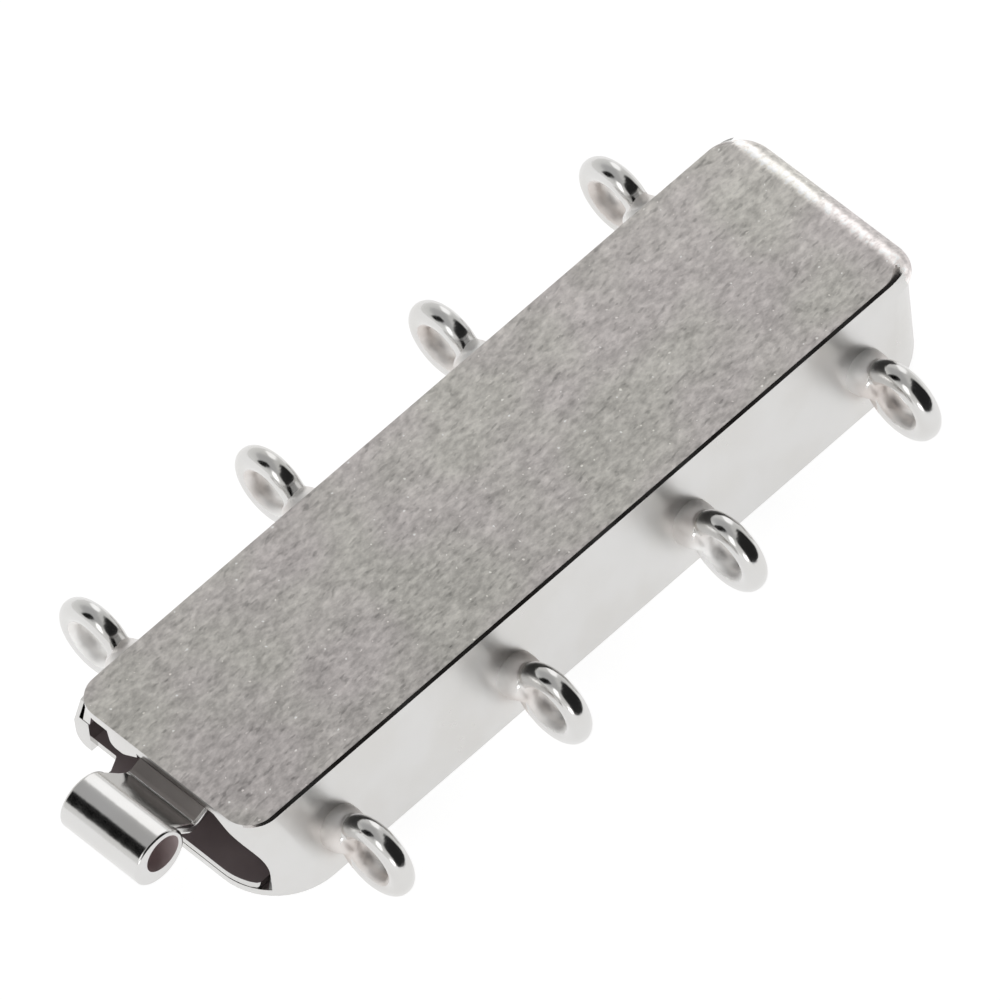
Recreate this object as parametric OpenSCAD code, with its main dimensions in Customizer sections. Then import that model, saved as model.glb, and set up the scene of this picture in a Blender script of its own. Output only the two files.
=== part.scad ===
// Four-strand box clasp for a bracelet or necklace, lying on its base.
// +X is the way the insert pulls out, +Y the side with the box's own rings, +Z up.
// The origin is the middle of the base. Millimetres.

/* [Box] */
// Length of the top plate
plate_l = 30.32; // [28.32:0.5:34.32]
// Width of the top plate
plate_w = 8.04; // [7.8:0.02:8.6]
// Height from the base to the top of the plate
body_h = 3.8; // [3.78:0.02:3.96]
// How far each long side leans out from the plate down to the base
flare = 0.88; // [0.8:0.02:1]
// Thickness of the plate, the walls and the floor
sheet = 0.3; // [0.26:0.02:0.34]
// Corner radius of the plate seen from above
plate_r = 1.05; // [0.8:0.05:1.2]
// Corner radius of the base seen from above
base_r = 2.45; // [2.2:0.05:2.6]
// Width of the polished bevel round the plate
bevel = 0.1; // [0.06:0.02:0.14]
// Radius of the rolled edge at the far end of the plate
far_edge_r = 0.9; // [0.7:0.05:1]

/* [Mouth] */
// Left side of the notch that the tongue comes out of
notch_y0 = -1.08; // [-1.3:0.02:-1.04]
// Right side of the notch
notch_y1 = 2.75; // [2.4:0.05:2.9]
// Outer side of the left lip
lip_y0 = -2.4; // [-2.6:0.05:-2.2]
// How far below the plate's top the left lip reaches
left_lip_h = 0.95; // [0.85:0.05:1]
// How far below the plate's top the right side of the notch bends outwards
right_lip_h = 0.58; // [0.54:0.02:0.62]
// Right side of the wide cut-out under the lips
mouth_y1 = 4.04; // [3.96:0.02:4.1]
// Radius of the curve at the cut-out's upper right
mouth_r = 2.4; // [2.3:0.05:2.5]
// Height of that curve's centre above the base
mouth_z = 1.1; // [1:0.05:1.2]

/* [Side groove and insert] */
// Thickness of the insert's outer skin
skin = 0.16; // [0.14:0.01:0.18]
// Running gap between the box and the insert
gap = 0.05; // [0.04:0.01:0.06]
// Depth of the box's left lip below the top of the plate
groove_h = 2.22; // [2.1:0.02:2.3]
// Thickness of the box's left lip
groove_lip = 0.3; // [0.26:0.02:0.32]
// How far the insert's wall ends behind the plate's near edge
wall_back = 0.65; // [0.6:0.05:0.8]
// Left edge of the box's floor
floor_y0 = -3; // [-3.2:0.05:-2.8]
// Thickness of the insert's lower leaf
leaf_t = 0.24; // [0.2:0.02:0.26]
// Right edge of the lower leaf
leaf_y1 = 3.7; // [3.5:0.05:3.75]
// Distance of the lower leaf's far edge behind the middle of the box
leaf_x0 = 12; // [8:0.5:13]
// How far the lower leaf is set back beside the left wall
leaf_back = 0.8; // [0.7:0.05:0.9]

/* [Spring tongue] */
// Thickness of the spring leaf
spring_t = 0.28; // [0.24:0.02:0.3]
// Left edge of the spring leaf's shoulders
shoulder_y0 = -2.9; // [-3:0.05:-2.6]
// Right edge of the spring leaf's shoulders
shoulder_y1 = 3.3; // [3.1:0.05:3.4]
// Distance of the fold behind the middle of the box
fold_x = 5; // [4:0.25:6]
// Outer radius of the fold
fold_r = 0.45; // [0.44:0.01:0.5]
// Left edge of the tongue's neck
neck_y0 = -0.93; // [-0.95:0.01:-0.85]
// Right edge of the neck
neck_y1 = 2.03; // [1.9:0.01:2.1]
// Thickness of the neck's sheet
neck_t = 0.4; // [0.34:0.02:0.42]
// Depth of the neck's top below the plate's top, in the notch
neck_top = 0.36; // [0.35:0.01:0.37]
// How far the dip in the neck lies outside the notch
dip_out = 0.52; // [0.45:0.01:0.55]
// Depth of the dip below the plate's top
dip_down = 0.58; // [0.54:0.01:0.6]

/* [Finger tab] */
// Diameter of the rolled tab
tab_d = 2.1; // [1.9:0.05:2.2]
// Left edge of the tab
tab_y0 = -1.16; // [-1.2:0.02:-1]
// Right edge of the tab
tab_y1 = 2.24; // [2.14:0.02:2.28]
// Distance of the tab's axis outside the plate's near edge
tab_out = 2.26; // [2.2:0.02:2.4]
// Depth of the tab's axis below the plate's top
tab_down = 0.44; // [0.4:0.02:0.5]
// Diameter of the hollow in the roll
hollow_d = 1.38; // [1.3:0.04:1.42]
// How far the hollow lies off the axis, towards the box and upwards
hollow_off = 0.13; // [0.1:0.01:0.15]

/* [Rings] */
// Number of rings on each side
ring_n = 4; // [3:1:4]
// Distance from ring to ring
ring_pitch = 7.8; // [7:0.1:7.8]
// Thickness of the ring's wire
wire_d = 0.86; // [0.7:0.02:0.86]
// Diameter of the ring, measured at the middle of its wire
ring_d = 2.24; // [2.1:0.02:2.24]
// Distance from the plate's long edge to the middle of a ring
ring_out = 2.18; // [2.12:0.01:2.2]
// Depth of the rings' middle below the plate's top
ring_down = 2.25; // [2.22:0.01:2.26]
// Radius of the solder at the wall
solder_r = 0.85; // [0.7:0.05:0.95]
// How far the solder reaches out from the wall
solder_h = 0.62; // [0.6:0.02:0.7]

/* [Hidden] */
$fn = 48;
far = 40;
end_x = plate_l / 2;
half_w = plate_w / 2;
reach = half_w + 3;
top_z = body_h - sheet;
groove_z = body_h - groove_h;
wall_x1 = end_x - wall_back;
wall_x0 = -end_x + sheet + gap;
slab = 0.01;
// Where each ring was soldered beside its even place, from the far end: along the length, outwards
right_shift = [[0.01, 0.04], [0.1, 0.04], [0.2, 0.05], [0.28, 0]];
left_shift = [[0.38, -0.06], [0.26, 0], [0.18, 0.1], [0.28, 0.06]];
ring_r = ring_d / 2;
wire_r = wire_d / 2;
ring_z = body_h - ring_down;
ring_x0 = -ring_pitch * (ring_n - 1) / 2;
root_cut = 0.1;
lean = atan(flare / body_h);
fold_z = sheet + gap + fold_r;
fold_wall = leaf_t;
tab_r = tab_d / 2;
tab_x = end_x + tab_out;
tab_z = body_h - tab_down;
shoulder_x = end_x - sheet - 2 * gap;
bend_n = 8;

// Half the width of the body at height z, on the outer face of a long side
function side(z) = half_w + flare * (body_h - z) / body_h;

// Points of an arc from angle a to angle b
function arc(x, z, r, a, b, n = bend_n) =
    [for (i = [0:n]) let (t = a + (b - a) * i / n) [x + r * cos(t), z + r * sin(t)]];

// Runs a section drawn in Y and Z along X
module along_x(x0, x1) {
    translate([x0, 0, 0]) rotate([90, 0, 90]) linear_extrude(x1 - x0) children();
}

// Runs a section drawn in X and Z along Y
module along_y(y0, y1) {
    translate([0, y1, 0]) rotate([90, 0, 0]) linear_extrude(y1 - y0) children();
}

// Radius of the corners at height z, seen from above
function corner(z) = base_r + (plate_r - base_r) * z / body_h;

// How far the rolled far edge, of radius r there, stands behind the far end at height z
function roll_in(z, r) = r - sqrt(max(0, r * r - pow(max(0, z - body_h + far_edge_r), 2)));

// The four round corners of a thin level outline inside the outer form, its top at height z
module corners(z, inset, roll, r) {
    for (x = [-end_x + inset + roll + r, end_x - inset - r], side_y = [-1, 1]) {
        translate([x, side_y * (side(z) - inset - r), z - slab]) cylinder(h = slab, r = r);
    }
}

// The whole outer form: flared long sides, rolled far edge, a small bevel round the plate
module outer_form() {
    bevel_z = body_h - bevel;
    hull() {
        corners(slab, 0, 0, base_r);
        for (t = [0:15:60]) {
            z = body_h - far_edge_r * (1 - sin(t));
            corners(z, 0, roll_in(z, far_edge_r), corner(z));
        }
        for (t = [75, 90]) {
            z = body_h - far_edge_r * (1 - sin(t));
            down = max(0, z - bevel_z);
            corners(z, down, roll_in(z, far_edge_r) - down, corner(z) - down);
        }
        corners(bevel_z, 0, roll_in(bevel_z, far_edge_r), corner(bevel_z));
    }
}

// The hollow inside the walls
module inner_form() {
    r = far_edge_r - sheet;
    hull() {
        corners(sheet + slab, sheet, 0, base_r - sheet);
        for (t = [0:15:90]) {
            z = body_h - far_edge_r + r * sin(t);
            corners(z, sheet, roll_in(z, r), corner(z) - sheet);
        }
    }
}

// What the left side leaves open for the insert's wall
module left_opening() {
    along_x(wall_x0 - gap, far) polygon([
        [-reach, top_z], [-side(top_z) + skin + gap, top_z],
        [-side(groove_z) + skin + gap, groove_z], [floor_y0, groove_z],
        [floor_y0, -1], [-reach, -1]
    ]);
}

// The opening in the near end, under the plate and round the two lips
module mouth() {
    lip_z = body_h - left_lip_h;
    lip_w = notch_y0 - lip_y0;
    lip_rise = 0.45;
    slant = 0.4;
    depth = 0.8;
    along_x(end_x - sheet - depth, far) polygon(concat(
        [[-reach, sheet], [-reach, top_z], [lip_y0, top_z]],
        [[lip_y0 + 0.1 * lip_w, lip_z + 0.25 * lip_rise], [lip_y0 + 0.25 * lip_w, lip_z]],
        [[lip_y0 + 0.5 * lip_w, lip_z], [lip_y0 + 0.75 * lip_w, lip_z + 0.5 * lip_rise]],
        [[notch_y0, lip_z + lip_rise], [notch_y0, top_z], [notch_y1 - slant, top_z]],
        [[notch_y1, body_h - right_lip_h]],
        arc(mouth_y1 - mouth_r, mouth_z, mouth_r, 52, 0),
        [[mouth_y1, sheet]]
    ));
}

// The box's lip that runs in the groove of the insert's wall
module groove_rail() {
    outer = skin + gap;
    inner = outer + groove_lip;
    mirror([0, 1, 0]) along_x(far_edge_r + gap - end_x, wall_x1) polygon([
        [side(groove_z) - outer, groove_z], [side(top_z) - outer, top_z],
        [side(top_z) - inner, top_z + sheet / 2], [side(top_z) - inner, top_z],
        [side(groove_z) - inner, groove_z]
    ]);
}

// One soldered ring, standing across the length, cut just inside the wall's outer face
module ring(outwards) {
    difference() {
        union() {
            translate([0, half_w + ring_out + outwards, ring_z]) rotate([0, 90, 0])
                rotate_extrude() translate([ring_r, 0]) circle(wire_r);
            translate([0, side(ring_z), ring_z]) rotate([lean - 90, 0, 0]) solder();
        }
        along_x(-reach, reach) polygon([
            [side(-reach) - root_cut, -reach], [side(reach) - root_cut, reach],
            [-reach, reach], [-reach, -reach]
        ]);
    }
}

// Solder that spreads from the wire onto the wall, which is at height 0 here
module solder() {
    flank = solder_r - wire_r;
    rotate_extrude() polygon(concat(
        [[0, -1], [solder_r, -1]],
        [for (t = [0:15:90]) [wire_r + flank * (1 - sin(t)), solder_h * (1 - cos(t))]],
        [[0, solder_h]]
    ));
}

// A row of rings, each moved by its own small shift
module ring_row(shift) {
    for (i = [0:ring_n - 1]) {
        translate([ring_x0 + i * ring_pitch + shift[i][0], 0, 0]) ring(shift[i][1]);
    }
}

// The box half, with the rings of the front side
module box() {
    color("silver") {
        difference() {
            outer_form();
            inner_form();
            left_opening();
            mouth();
        }
        groove_rail();
        ring_row(right_shift);
    }
}

// The insert's own side wall: a thin skin over a solid bar, widest at the knee
module insert_wall() {
    bar_z0 = 0.06;
    foot_in = 0.04;
    bar_z1 = groove_z - gap;
    bar_y = half_w + 0.1;
    skin_z = top_z - gap;
    knee = [side(0) - 0.1, 1.15];
    foot_r = 0.5;
    lean_out = (knee[0] - side(skin_z)) / (skin_z - knee[1]);
    mirror([0, 1, 0]) along_x(wall_x0, wall_x1) polygon(concat(
        [[bar_y, bar_z0], [bar_y, bar_z1], [knee[0] - skin - lean_out * (bar_z1 - knee[1]), bar_z1]],
        [[side(skin_z) - skin, skin_z], [side(skin_z), skin_z], knee],
        arc(knee[0] - foot_in - foot_r, bar_z0 + foot_r, foot_r, 0, -90, 6)
    ));
}

// What rounds the far end of the insert's side wall
module wall_end() {
    spare = 0.02;
    hull() {
        corners(slab, -spare, 0, base_r);
        corners(top_z, -spare, roll_in(top_z, far_edge_r), corner(top_z));
    }
}

// The flat lower leaf that slides on the box's floor
module lower_leaf() {
    step = 0.1;
    front = end_x - gap;
    r = base_r - gap;
    turn = 24;
    y0 = -half_w - 3 * step;
    tip = [end_x - base_r + r * cos(turn), side(0) - base_r + r * sin(turn)];
    translate([0, 0, sheet + gap]) linear_extrude(leaf_t) polygon(concat(
        [[-leaf_x0, leaf_y1], [tip[0] - 3 * step, leaf_y1], [tip[0] - step, (leaf_y1 + tip[1]) / 2]],
        arc(end_x - base_r, side(0) - base_r, r, turn, 0, 4),
        [[front, floor_y0 + 6 * step], [front - 2 * step, floor_y0 + 2 * step]],
        [[end_x - leaf_back, floor_y0 - step], [end_x - leaf_back, y0], [-leaf_x0, y0]]
    ));
}

// The fold at the far end, which holds the end of the spring leaf
module fold() {
    along_y(shoulder_y0, shoulder_y1) difference() {
        translate([-fold_x, fold_z]) circle(fold_r);
        translate([-fold_x, fold_z]) circle(fold_r - fold_wall);
        translate([-fold_x, fold_z]) square([fold_r + 1, fold_r + 1]);
        translate([-fold_x, fold_z - fold_r + fold_wall]) square([fold_r + 1, fold_r + 1]);
    }
}

// The insert half, with the rings of the other side
module insert() {
    color("gainsboro") {
        intersection() {
            insert_wall();
            union() {
                wall_end();
                translate([base_r - end_x, -far / 2, 0]) cube([far, far, far / 2]);
            }
        }
        lower_leaf();
        fold();
        mirror([0, 1, 0]) ring_row(left_shift);
    }
}

// Profile of the spring leaf from the fold to its shoulders, in X and Z
module spring_profile() {
    z1 = body_h - neck_top;
    eye = fold_r - fold_wall - gap;
    translate([-fold_x, fold_z]) circle(eye);
    polygon([
        [-fold_x, fold_z - eye], [shoulder_x, z1 - spring_t],
        [shoulder_x, z1], [-fold_x, fold_z + eye]
    ]);
}

// Profile of the neck: out of the notch, down to the dip and up onto the roll
module neck_profile() {
    z1 = body_h - neck_top;
    valley = 0.12;
    ease = 0.02;
    overlap = 1;
    dip = [end_x + dip_out, body_h - dip_down];
    to_tab = [tab_x - dip[0], tab_z - dip[1]];
    rise = atan2(to_tab[1], to_tab[0]) + asin(tab_r / norm(to_tab));
    touch = [tab_x - tab_r * sin(rise), tab_z + tab_r * cos(rise)];
    inset = neck_t * [sin(rise), -cos(rise)];
    polygon([
        [shoulder_x - overlap, z1], [end_x, z1], [dip[0] - valley, dip[1] + ease],
        [dip[0] + valley, dip[1] + 2 * ease], touch,
        touch + inset, [dip[0] + 2 * valley, dip[1] - neck_t + ease],
        [dip[0] - valley, dip[1] - neck_t], [end_x, z1 - neck_t], [shoulder_x - overlap, z1 - neck_t]
    ]);
}

// Profile of the rolled tab
module roll_profile() {
    translate([tab_x, tab_z]) circle(tab_r);
}

// Profile of the hollow in the roll
module roll_hollow() {
    translate([tab_x - hollow_off, tab_z + hollow_off]) circle(hollow_d / 2);
}

// The spring tongue with its finger tab
module tongue() {
    color("lightgray") {
        along_y(shoulder_y0, shoulder_y1) spring_profile();
        along_y(neck_y0, neck_y1) difference() {
            neck_profile();
            roll_hollow();
        }
        along_y(tab_y0, tab_y1) difference() {
            roll_profile();
            roll_hollow();
        }
    }
}

box();
insert();
tongue();
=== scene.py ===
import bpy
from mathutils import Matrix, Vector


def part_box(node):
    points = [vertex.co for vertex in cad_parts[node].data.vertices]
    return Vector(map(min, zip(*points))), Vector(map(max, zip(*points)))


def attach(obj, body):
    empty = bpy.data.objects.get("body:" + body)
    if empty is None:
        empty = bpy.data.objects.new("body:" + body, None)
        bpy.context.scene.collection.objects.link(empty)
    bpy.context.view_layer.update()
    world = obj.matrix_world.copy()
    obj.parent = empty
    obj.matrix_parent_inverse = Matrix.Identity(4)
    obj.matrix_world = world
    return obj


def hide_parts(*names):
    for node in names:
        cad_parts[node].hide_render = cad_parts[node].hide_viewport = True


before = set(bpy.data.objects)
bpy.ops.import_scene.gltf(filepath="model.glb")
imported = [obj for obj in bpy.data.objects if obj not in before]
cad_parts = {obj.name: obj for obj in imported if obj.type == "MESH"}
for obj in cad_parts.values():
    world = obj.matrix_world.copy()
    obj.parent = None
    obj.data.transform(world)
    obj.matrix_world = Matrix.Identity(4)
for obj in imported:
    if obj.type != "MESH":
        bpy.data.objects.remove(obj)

"""Looks of a four-strand box clasp: its polished and matte silver, its rings and its spring tongue.

Shapes are drawn in millimetres and brought to metres when a piece is finished. +X is the way the
insert pulls out, +Y the side with the box's own rings, +Z up, and the base lies on height 0.
"""

import logging
import math
from dataclasses import dataclass
from enum import Enum
from functools import partial, partialmethod
from typing import Callable, Optional, Sequence

import bpy
from mathutils import Matrix, Vector

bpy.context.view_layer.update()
MM = 0.001
CLEAR = 0.02        # how far a form stands off a face that it leaves alone
BEYOND = 3.0        # how far a cutter reaches past the clasp
SAME_SPOT = 0.001   # points closer than this are one
CORNER_STEPS = 14   # faces round each corner of a lofted form
SHARP_EDGE = 38.0   # least angle of an edge that is eased, in degrees
LIES_LEVEL = 0.98   # least Z of a level face's normal
FACES_UP = 0.9      # least Z of the normal of a face that looks up
LEANS = 0.3         # least share of an axis in a normal that leans that way

Piece = bpy.types.Object
Material = bpy.types.Material
Point = tuple[float, float]
Corner = tuple[float, float, float]

log = logging.getLogger("clasp")


class Plane(Enum):
    """The plane that a section is drawn in, and the axis that it runs along."""

    YZ = 0
    XZ = 1
    XY = 2


class Side(Enum):
    """A long side of the clasp, as the sign of Y."""

    RIGHT = 1
    LEFT = -1


class Slot(Enum):
    """Material slots of the record."""

    BOX = "box_silver"
    INSERT = "insert_silver"
    TONGUE = "tongue_silver"


# Sections

def rounded(corners: Sequence[Corner], steps: int = 10) -> list[Point]:
    """Turns the corners of a closed outline into arcs.

    Args:
        corners: each corner's two coordinates and the radius of its arc, 0 for a sharp one.
        steps: how many straight pieces stand for one arc.

    Returns:
        The outline's points, in order.
    """
    points: list[Point] = []
    for i, (x, y, radius) in enumerate(corners):
        here = Vector((x, y))
        if radius <= 0:
            points.append((x, y))
            continue
        back = (Vector(corners[i - 1][:2]) - here).normalized()
        ahead = (Vector(corners[(i + 1) % len(corners)][:2]) - here).normalized()
        half = back.angle(ahead) / 2
        centre = here + (back + ahead).normalized() * (radius / math.sin(half))
        first = here + back * (radius / math.tan(half)) - centre
        last = here + ahead * (radius / math.tan(half)) - centre
        turn = first.angle_signed(last)
        for k in range(steps + 1):
            spot = centre + Matrix.Rotation(-turn * k / steps, 2) @ first
            points.append((spot.x, spot.y))
    return points


def arc(centre: Point, radius: float, start: int, end: int, step: int) -> list[Point]:
    """Gives the points of an arc.

    Args:
        centre: the arc's middle.
        radius: its radius.
        start: where it starts, in degrees.
        end: where it ends, before or after the start.
        step: the angle between two points.

    Returns:
        The points, in order.
    """
    step = step if end > start else -step
    angles = [math.radians(t) for t in range(start, end + step, step)]
    return [(centre[0] + radius * math.cos(t), centre[1] + radius * math.sin(t)) for t in angles]


# Bench work with Blender's own tools

def clear_selection() -> None:
    """Leaves edit mode and selects nothing."""
    if bpy.context.mode != "OBJECT":
        bpy.ops.object.mode_set(mode="OBJECT")
    bpy.ops.object.select_all(action="DESELECT")


def take(piece: Piece) -> None:
    """Selects one piece alone and makes it the active one.

    Args:
        piece: the object.
    """
    clear_selection()
    piece.select_set(True)
    bpy.context.view_layer.objects.active = piece


def edit_all(piece: Piece) -> None:
    """Opens a piece for editing with all of it selected.

    Args:
        piece: the object.
    """
    take(piece)
    bpy.ops.object.mode_set(mode="EDIT")
    bpy.ops.mesh.select_all(action="SELECT")


def done_editing() -> None:
    """Turns all faces outwards and closes the edit."""
    bpy.ops.mesh.select_all(action="SELECT")
    bpy.ops.mesh.normals_make_consistent(inside=False)
    bpy.ops.object.mode_set(mode="OBJECT")


def placed(plane: Plane, point: Point, along: float) -> Vector:
    """Gives the place in space of a section's point.

    Args:
        plane: the plane that the section is drawn in.
        point: the point's two coordinates in that plane.
        along: its coordinate along the third axis.

    Returns:
        The point in space.
    """
    spot = list(point)
    spot.insert(plane.value, along)
    return Vector(spot)


def draw_chain(name: str, plane: Plane, points: Sequence[Point], along: float) -> Piece:
    """Draws an open chain of edges by extruding one vertex from point to point.

    Args:
        name: the new object's name.
        plane: the plane that the chain lies in.
        points: its points.
        along: where the plane stands on the third axis.

    Returns:
        The object, left in edit mode with its last vertex selected.
    """
    clear_selection()
    bpy.ops.mesh.primitive_plane_add(size=1)
    piece = bpy.context.active_object
    piece.name = name
    edit_all(piece)
    bpy.ops.mesh.merge(type="CENTER")
    spots = [placed(plane, p, along) for p in points]
    bpy.ops.transform.translate(value=spots[0])
    for here, there in zip(spots, spots[1:]):
        bpy.ops.mesh.extrude_vertices_move(TRANSFORM_OT_translate={"value": there - here})
    return piece


def bar(name: str, plane: Plane, points: Sequence[Point], start: float, end: float) -> Piece:
    """Runs a closed section along the third axis.

    Args:
        name: the new object's name.
        plane: the plane that the section is drawn in.
        points: the section's points.
        start: where it starts on the third axis.
        end: where it ends.

    Returns:
        A closed solid.
    """
    piece = draw_chain(name, plane, points, start)
    bpy.ops.mesh.select_all(action="SELECT")
    bpy.ops.mesh.edge_face_add()
    step = placed(plane, (0, 0), end - start)
    bpy.ops.mesh.extrude_region_move(TRANSFORM_OT_translate={"value": step})
    done_editing()
    return piece


@dataclass(frozen=True)
class Level:
    """A level outline with round corners, one ring of a lofted form."""

    z: float
    x0: float
    x1: float
    y0: float
    y1: float
    radius: float


def loft(name: str, levels: Sequence[Level]) -> Piece:
    """Bridges level outlines, from the lowest to the highest, into a closed solid.

    Args:
        name: the new object's name.
        levels: the outlines.

    Returns:
        A closed solid.
    """
    clear_selection()
    piece: Optional[Piece] = None
    for level in levels:
        centre = ((level.x0 + level.x1) / 2, (level.y0 + level.y1) / 2, level.z)
        bpy.ops.mesh.primitive_plane_add(size=1, location=centre)
        if piece is None:
            piece = bpy.context.active_object
            piece.name = name
            bpy.ops.object.transform_apply(location=True, rotation=False, scale=False)
            edit_all(piece)
        span = (level.x1 - level.x0, level.y1 - level.y0, 1)
        bpy.ops.transform.resize(value=span, center_override=centre)
        bpy.ops.mesh.bevel(offset=level.radius, segments=CORNER_STEPS, profile=0.5, affect="VERTICES")
    bpy.ops.mesh.select_all(action="SELECT")
    bpy.ops.mesh.delete(type="ONLY_FACE")
    bpy.ops.mesh.select_all(action="SELECT")
    bpy.ops.mesh.bridge_edge_loops()
    bpy.ops.mesh.select_all(action="SELECT")
    bpy.ops.mesh.fill_holes(sides=0)
    done_editing()
    return piece


def modify(piece: Piece, kind: str, **settings: object) -> None:
    """Adds one modifier with its settings and applies it.

    Args:
        piece: the object to change.
        kind: the modifier's type.
        settings: the modifier's own values.
    """
    take(piece)
    modifier = piece.modifiers.new(kind.title(), kind)
    for key, value in settings.items():
        setattr(modifier, key, value)
    bpy.ops.object.modifier_apply(modifier=modifier.name)


def combine(piece: Piece, other: Piece, how: str) -> None:
    """Joins or cuts a piece with another solid, which is used up.

    Args:
        piece: the object that stays.
        other: the solid that is added or taken away.
        how: UNION, DIFFERENCE or INTERSECT.
    """
    modify(piece, "BOOLEAN", object=other, operation=how, solver="EXACT")
    bpy.data.objects.remove(other)


def join(pieces: Sequence[Piece]) -> Piece:
    """Joins meshes into the first of them.

    Args:
        pieces: the objects to join.

    Returns:
        The first object, which holds them all.
    """
    take(pieces[0])
    for piece in pieces:
        piece.select_set(True)
    bpy.ops.object.join()
    return pieces[0]


def cut_flat(piece: Piece, spot: Vector, normal: Vector) -> None:
    """Cuts away what lies on the low side of a plane and closes the cut.

    Args:
        piece: the object to cut.
        spot: a point of the plane.
        normal: the direction of the side that stays.
    """
    edit_all(piece)
    bpy.ops.mesh.bisect(plane_co=spot, plane_no=normal, use_fill=True, clear_inner=True)
    done_editing()


def settle(piece: Piece) -> None:
    """Writes a piece's place, turn and scale into its mesh."""
    take(piece)
    bpy.ops.object.transform_apply(location=True, rotation=True, scale=True)


def ease_edges(piece: Piece, width: float, segments: int = 2) -> None:
    """Rounds every sharp edge a little, as polishing does.

    Args:
        piece: the object to change.
        width: how wide the rounding is, in millimetres.
        segments: how many faces stand for it.
    """
    modify(
        piece, "BEVEL", width=width, segments=segments, limit_method="ANGLE",
        angle_limit=math.radians(SHARP_EDGE), use_clamp_overlap=True, miter_outer="MITER_ARC",
    )


def finish_piece(piece: Piece, name: str, body: str, node: str, smooth: float = 30) -> Piece:
    """Brings a piece to metres, smooths it, ties it to its body and hides the CAD part of its node.

    Args:
        piece: the finished mesh, in millimetres.
        name: its name.
        body: the body that it moves with.
        node: the node that it stands for.
        smooth: the angle under which faces are shaded as one, in degrees.

    Returns:
        The piece.
    """
    take(piece)
    bpy.ops.object.shade_smooth_by_angle(angle=math.radians(smooth))
    modify(piece, "WEIGHTED_NORMAL", keep_sharp=True, weight=60)
    piece.scale = (MM, MM, MM)
    settle(piece)
    piece.name = name
    piece.data.name = name
    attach(piece, body)
    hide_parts(node)
    return piece


# Shader maths

class Value:
    """A shader socket that takes part in plain arithmetic."""

    def __init__(self, graph: "Graph", socket: bpy.types.NodeSocket) -> None:
        """Wraps one output socket of a graph."""
        self.graph = graph
        self.socket = socket

    def _math(self, operation: str, other: object, swapped: bool = False) -> "Value":
        """Adds one Math node for this value and another, or for the two the other way round."""
        pair = (other, self) if swapped else (self, other)
        return self.graph.add("ShaderNodeMath", {"operation": operation}, dict(enumerate(pair)))

    __add__ = __radd__ = partialmethod(_math, "ADD")
    __sub__ = partialmethod(_math, "SUBTRACT")
    __rsub__ = partialmethod(_math, "SUBTRACT", swapped=True)
    __mul__ = __rmul__ = partialmethod(_math, "MULTIPLY")
    __truediv__ = partialmethod(_math, "DIVIDE")
    size = partialmethod(_math, "ABSOLUTE", 0.0)

    def ramp(self, low: float, high: float) -> "Value":
        """Rises smoothly from 0 to 1 between two values."""
        inputs = {"Value": self, "From Min": low, "From Max": high}
        return self.graph.add("ShaderNodeMapRange", {"interpolation_type": "SMOOTHSTEP"}, inputs)


@dataclass(frozen=True)
class Noise:
    """Cloudy noise: its fineness, how many finer layers it has, and how strong those are."""

    scale: float
    detail: float
    rough: float = 0.5


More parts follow.
